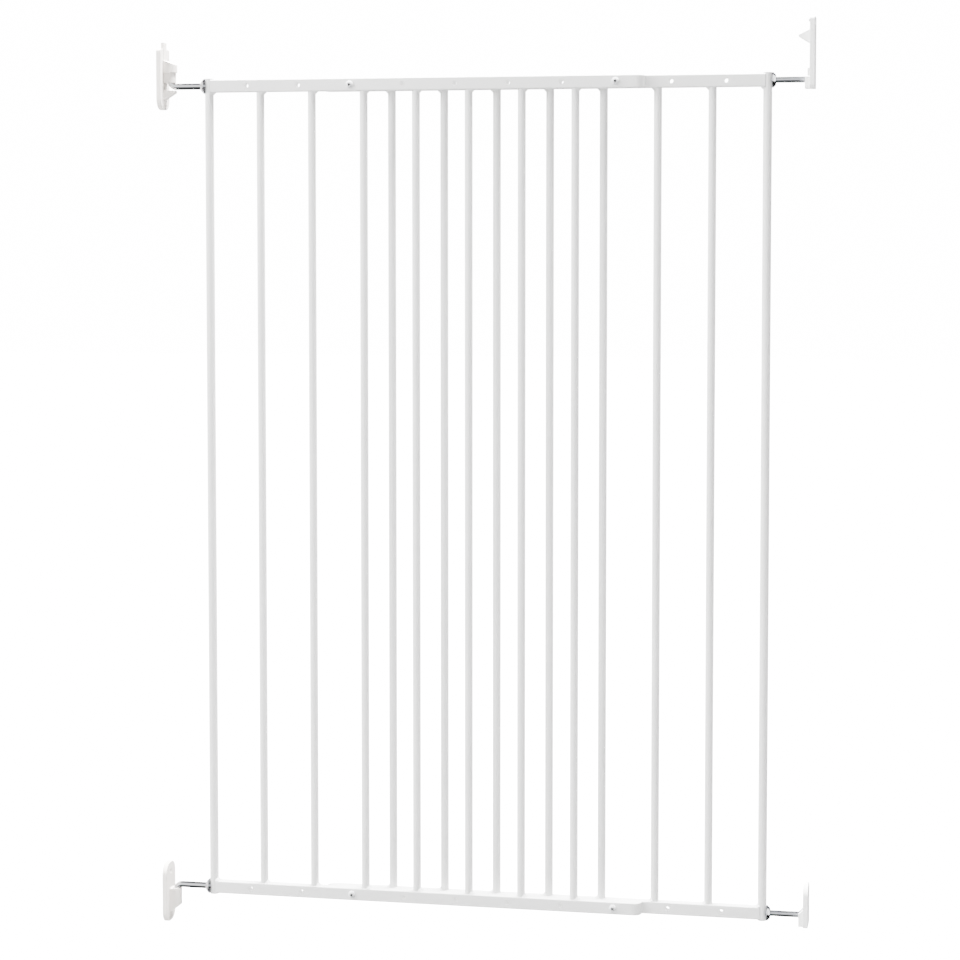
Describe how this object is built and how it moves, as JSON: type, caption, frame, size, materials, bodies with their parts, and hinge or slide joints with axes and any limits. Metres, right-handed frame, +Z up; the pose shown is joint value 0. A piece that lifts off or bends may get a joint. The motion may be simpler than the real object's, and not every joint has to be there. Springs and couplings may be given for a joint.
{
  "type": "wall-mounted pet gate",
  "caption": "Swinging barred pet gate in a doorway: two overlapping welded panels on hooked hinge rods, with lift-over latch bolts and wall brackets.",
  "frame": {"origin": "on the floor line, midway between the two walls and midway between the two panels", "axes": "+X from the hinge wall to the latch wall, +Y from the side with the screw heads to the back, +Z up"},
  "size_m": [0.8312, 0.048, 1.158],
  "materials": {
    "powder_coat": "satin",
    "bracket_plastic": "matte",
    "cap_plastic": "matte",
    "bush_plastic": "matte",
    "zinc_rod": "polished",
    "zinc_fastener": "bright zinc",
    "plug_steel": "plain"
  },
  "bodies": {
    "root": {"upper_hinge_bracket": "bracket_plastic", "lower_hinge_bracket": "bracket_plastic", "upper_latch_bracket": "bracket_plastic", "lower_latch_bracket": "bracket_plastic"},
    "pin_bushes": {"lower_pin_bush": "bush_plastic", "upper_pin_bush": "bush_plastic"},
    "hinge_lock": {"hinge_lock_slide": "bracket_plastic"},
    "hinge_rods": {"lower_hinge_rod": "zinc_rod", "upper_hinge_rod": "zinc_rod"},
    "gate": {"left_end_post": "powder_coat", "left_post_plugs": "cap_plastic", "left_bar_1": "powder_coat", "left_bar_2": "powder_coat", "left_bar_3": "powder_coat", "left_bar_4": "powder_coat", "left_bar_5": "powder_coat", "left_bar_6": "powder_coat", "left_bar_7": "powder_coat", "left_bottom_rail": "powder_coat", "left_top_rail": "powder_coat", "left_rail_caps": "cap_plastic", "left_threaded_plugs": "plug_steel", "left_welds": "powder_coat", "right_end_post": "powder_coat", "right_post_plugs": "cap_plastic", "right_bar_1": "powder_coat", "right_bar_2": "powder_coat", "right_bar_3": "powder_coat", "right_bar_4": "powder_coat", "right_bar_5": "powder_coat", "right_bar_6": "powder_coat", "right_bar_7": "powder_coat", "right_bottom_rail": "powder_coat", "right_top_rail": "powder_coat", "right_rail_caps": "cap_plastic", "right_threaded_plugs": "plug_steel", "right_welds": "powder_coat", "clamp_screws": "zinc_fastener", "clamp_cap_nuts": "zinc_fastener", "hinge_lock_nuts": "zinc_fastener", "latch_lock_nuts": "zinc_fastener"},
    "upper_latch_bolt": {"upper_latch_bolt": "zinc_rod"},
    "lower_latch_bolt": {"lower_latch_bolt": "zinc_rod"},
    "latch_slide": {"latch_slide": "bracket_plastic"}
  },
  "joints": [
    {"name": "gate_lift", "type": "slide", "parent": "root", "child": "pin_bushes", "axis": [0, 0, 1], "range_m": [0, 0.008]},
    {"name": "hinge_lock_release", "type": "slide", "parent": "pin_bushes", "child": "hinge_lock", "axis": [0, 0, 1], "range_m": [0, 0.014]},
    {"name": "gate_swing", "type": "hinge", "parent": "pin_bushes", "child": "hinge_rods", "pos_m": [-0.40213, -0.006, 0.565], "axis": [0, 0, 1], "range_deg": [-90, 85]},
    {"name": "hinge_side_adjust", "type": "slide", "parent": "hinge_rods", "child": "gate", "axis": [1, 0, 0], "range_m": [-0.012, 0]},
    {"name": "upper_bolt_adjust", "type": "slide", "parent": "gate", "child": "upper_latch_bolt", "axis": [1, 0, 0], "range_m": [-0.012, 0]},
    {"name": "lower_bolt_adjust", "type": "slide", "parent": "gate", "child": "lower_latch_bolt", "axis": [1, 0, 0], "range_m": [-0.012, 0]},
    {"name": "latch_slide_lift", "type": "slide", "parent": "root", "child": "latch_slide", "axis": [0, 0, 1], "range_m": [0, 0.008]}
  ],
  "couplings": [
    {"joint": "latch_slide_lift", "follows": "gate_lift", "ratio": 1}
  ]
}
